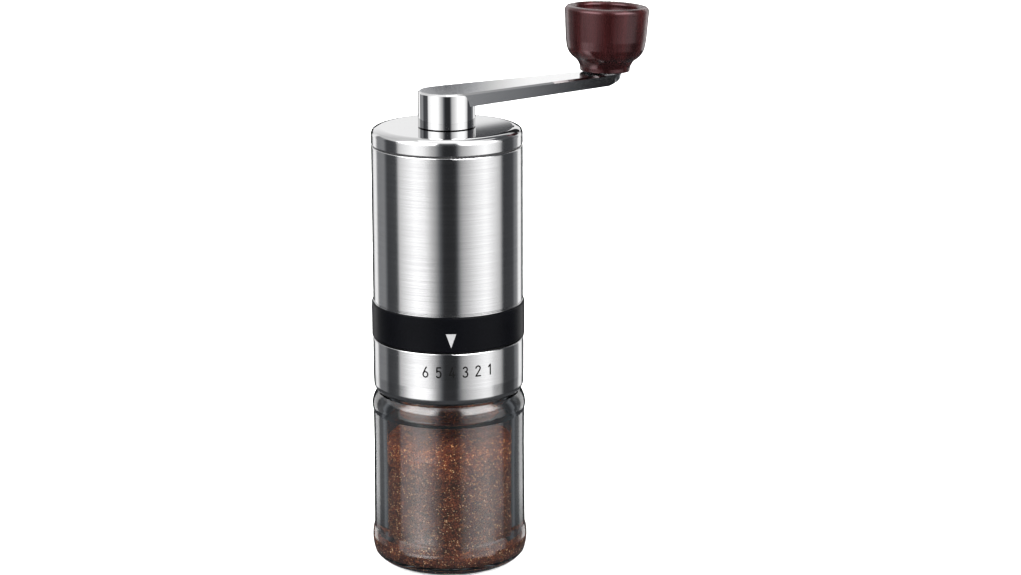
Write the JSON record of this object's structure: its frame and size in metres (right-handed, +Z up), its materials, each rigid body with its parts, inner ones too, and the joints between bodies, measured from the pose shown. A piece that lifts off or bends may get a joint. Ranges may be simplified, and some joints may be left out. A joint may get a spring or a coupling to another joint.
{
  "type": "hand crank coffee grinder",
  "caption": "Hand crank coffee grinder: steel tube hopper above a numbered adjusting ring and a screw-on glass jar, with a lift-off lid, flat crank arm and dished wooden knob.",
  "frame": {"origin": "on the grinder's axis, in the plane of the jar's foot", "axes": "+Z up the crank shaft; -Y is the side with the pointer mark; the crank arm points 30.7 degrees round from +X towards +Y"},
  "size_m": [0.1, 0.0765, 0.1909],
  "materials": {
    "jar_glass": "clear thick pressed glass",
    "silicone": "matte silicone",
    "black_plastic": "fine moulded texture",
    "band_plastic": "smooth satin black",
    "pointer_white": "white inlay",
    "tube_steel": "brushed round the tube",
    "ring_steel": "fine brushed",
    "lid_steel": "polished",
    "arm_steel": "satin top, polished sides",
    "brass": "turned",
    "burr_ceramic": "unglazed white ceramic",
    "plain_steel": "machined",
    "knob_wood": "dark red-brown lacquer"
  },
  "bodies": {
    "jar": {"jar": "jar_glass"},
    "seal": {"jar_seal": "silicone"},
    "housing": {"jar_collar": "black_plastic", "collar_screws": "plain_steel", "chassis": "black_plastic", "lower_bush": "brass", "grip_band": "band_plastic", "pointer_mark": "pointer_white", "upper_bracket": "black_plastic", "upper_bush": "brass", "tube_shell": "tube_steel", "detent_spring": "plain_steel", "carrier_spring": "plain_steel"},
    "adjuster": {"number_ring": "ring_steel", "adjuster_ring": "black_plastic"},
    "detent": {"detent_ball": "plain_steel"},
    "carrier": {"burr_carrier": "black_plastic", "cam_pins": "plain_steel", "ring_burr": "burr_ceramic", "burr_retainer": "black_plastic"},
    "drive": {"drive_shaft": "plain_steel", "cone_burr": "burr_ceramic", "cone_insert": "plain_steel", "burr_washer": "plain_steel", "burr_nut": "plain_steel", "thrust_washer": "plain_steel", "shaft_clip": "plain_steel"},
    "lid": {"lid_shell": "lid_steel", "lid_liner": "black_plastic", "lid_gasket": "silicone"},
    "crank": {"crank_arm": "arm_steel", "knob_screw": "plain_steel", "knob_washer": "plain_steel"},
    "knob": {"knob": "knob_wood", "knob_bush": "brass"}
  },
  "joints": [
    {"name": "housing_lift", "type": "slide", "parent": "jar", "child": "seal", "axis": [0, 0, 1], "range_m": [0, 0.0121]},
    {"name": "housing_unscrew", "type": "hinge", "parent": "seal", "child": "housing", "pos_m": [0, 0, 0.071], "axis": [0, 0, 1], "range_deg": [0, 1080]},
    {"name": "ring_turn", "type": "hinge", "parent": "housing", "child": "adjuster", "pos_m": [0, 0, 0.0708], "axis": [0, 0, 1], "range_deg": [-30, 20]},
    {"name": "burr_lift", "type": "slide", "parent": "housing", "child": "carrier", "axis": [0, 0, 1], "range_m": [-0.00091, 0.00061], "deforming": ["carrier_spring"]},
    {"name": "detent_click", "type": "slide", "parent": "housing", "child": "detent", "axis": [0, 0, 1], "range_m": [0, 0.0003], "stiffness_N_per_m": 400, "springref_m": -0.002, "deforming": ["detent_spring"]},
    {"name": "crank_turn", "type": "hinge", "parent": "housing", "child": "drive", "pos_m": [0, 0, 0.12], "axis": [0, 0, 1], "continuous": true},
    {"name": "crank_lift", "type": "slide", "parent": "drive", "child": "crank", "axis": [0, 0, 1], "range_m": [0, 0.044]},
    {"name": "lid_lift", "type": "slide", "parent": "housing", "child": "lid", "axis": [0, 0, 1], "range_m": [0, 0.022]},
    {"name": "knob_spin", "type": "hinge", "parent": "crank", "child": "knob", "pos_m": [0.05718, 0.03395, 0.1669], "axis": [0.0315, 0.0187, 0.9993], "continuous": true}
  ],
  "couplings": [
    {"joint": "housing_lift", "follows": "housing_unscrew", "m_per_rad": 0.00063662},
    {"joint": "burr_lift", "follows": "ring_turn", "m_per_rad": 0.0017189},
    {"joint": "lid_lift", "follows": "crank_lift", "ratio": 0.5}
  ]
}
